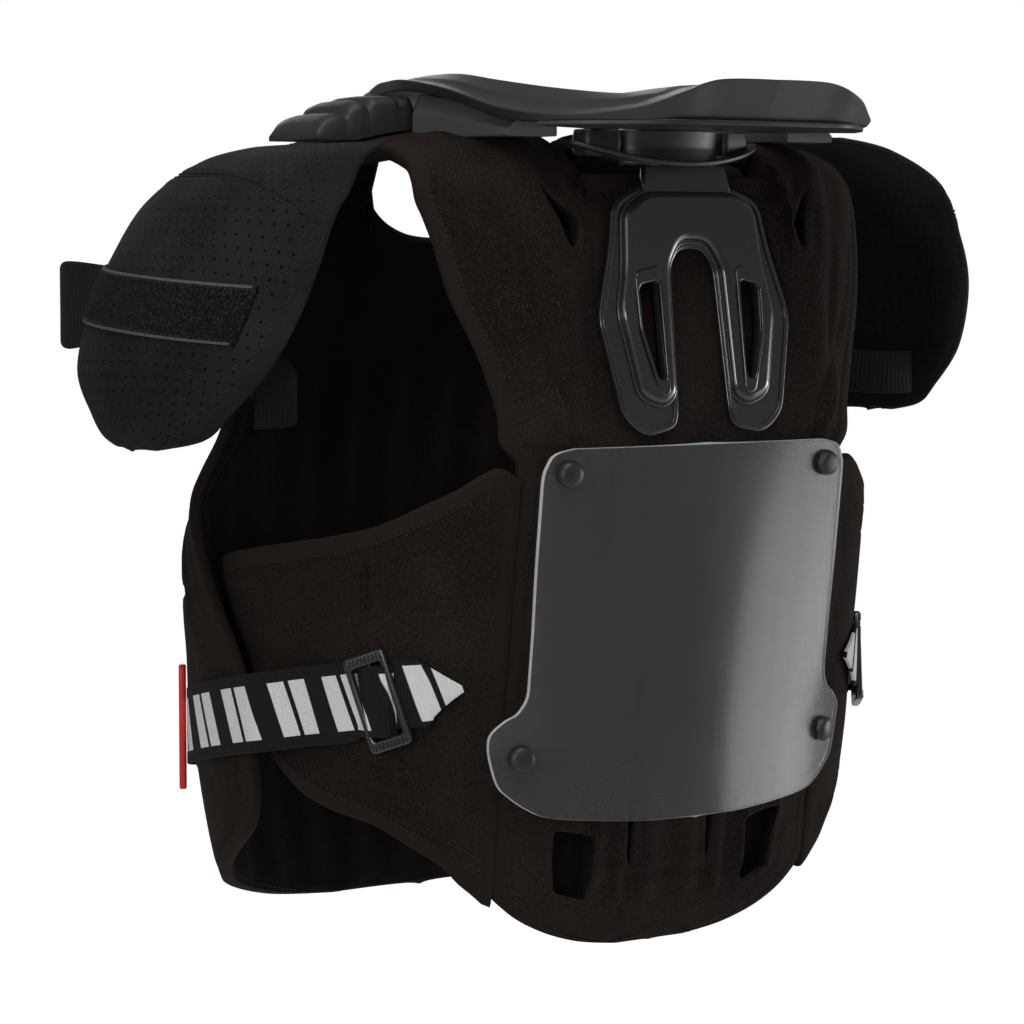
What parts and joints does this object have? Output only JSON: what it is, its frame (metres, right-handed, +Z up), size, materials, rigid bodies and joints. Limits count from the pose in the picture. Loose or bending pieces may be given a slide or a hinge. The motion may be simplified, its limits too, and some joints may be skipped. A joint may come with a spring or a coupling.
{
  "type": "roost deflector",
  "caption": "Padded body vest for off-road riding with hard neck collar, spine strut, clear back plate and shoulder caps.",
  "frame": {"origin": "between the shoulders, at the height where the shoulder bridges rest on the wearer", "axes": "+X to the wearer's right, +Y forward to the chest, +Z up"},
  "size_m": [0.5278, 0.3572, 0.4723],
  "materials": {
    "padded_cloth": "matt brushed cloth over foam",
    "cap_cloth": "matt perforated neoprene",
    "brace_plastic": "satin moulded",
    "glossy_plastic": "glossy moulded",
    "clear_sheet": "clear bent plastic sheet",
    "webbing": "woven",
    "red_plastic": "moulded",
    "link_rubber": "satin"
  },
  "bodies": {
    "root": {"back_panel": "padded_cloth", "front_panel": "padded_cloth", "side_wing_left": "padded_cloth", "side_wing_right": "padded_cloth", "shoulder_bridge_left": "padded_cloth", "shoulder_bridge_right": "padded_cloth", "shoulder_cap_left": "cap_cloth", "shoulder_cap_right": "cap_cloth", "collar_shell": "brace_plastic", "collar_base": "brace_plastic", "neck_bracket": "brace_plastic", "collar_block_left": "brace_plastic", "collar_block_right": "brace_plastic", "back_strut": "glossy_plastic", "plate_stud_1": "glossy_plastic", "plate_stud_2": "glossy_plastic", "plate_stud_3": "glossy_plastic", "plate_stud_4": "glossy_plastic", "strap_buckle_left": "glossy_plastic", "strap_buckle_right": "glossy_plastic", "number_plate": "clear_sheet", "waist_strap_left": "webbing", "waist_strap_right": "webbing", "strap_tab_left": "webbing", "strap_tab_right": "webbing", "cap_patch_left": "webbing", "cap_patch_right": "webbing", "arm_strap_left": "webbing", "arm_strap_right": "webbing", "strap_hook_left": "red_plastic", "strap_hook_right": "red_plastic", "shoulder_link_left": "link_rubber", "shoulder_link_right": "link_rubber"}
  },
  "joints": []
}
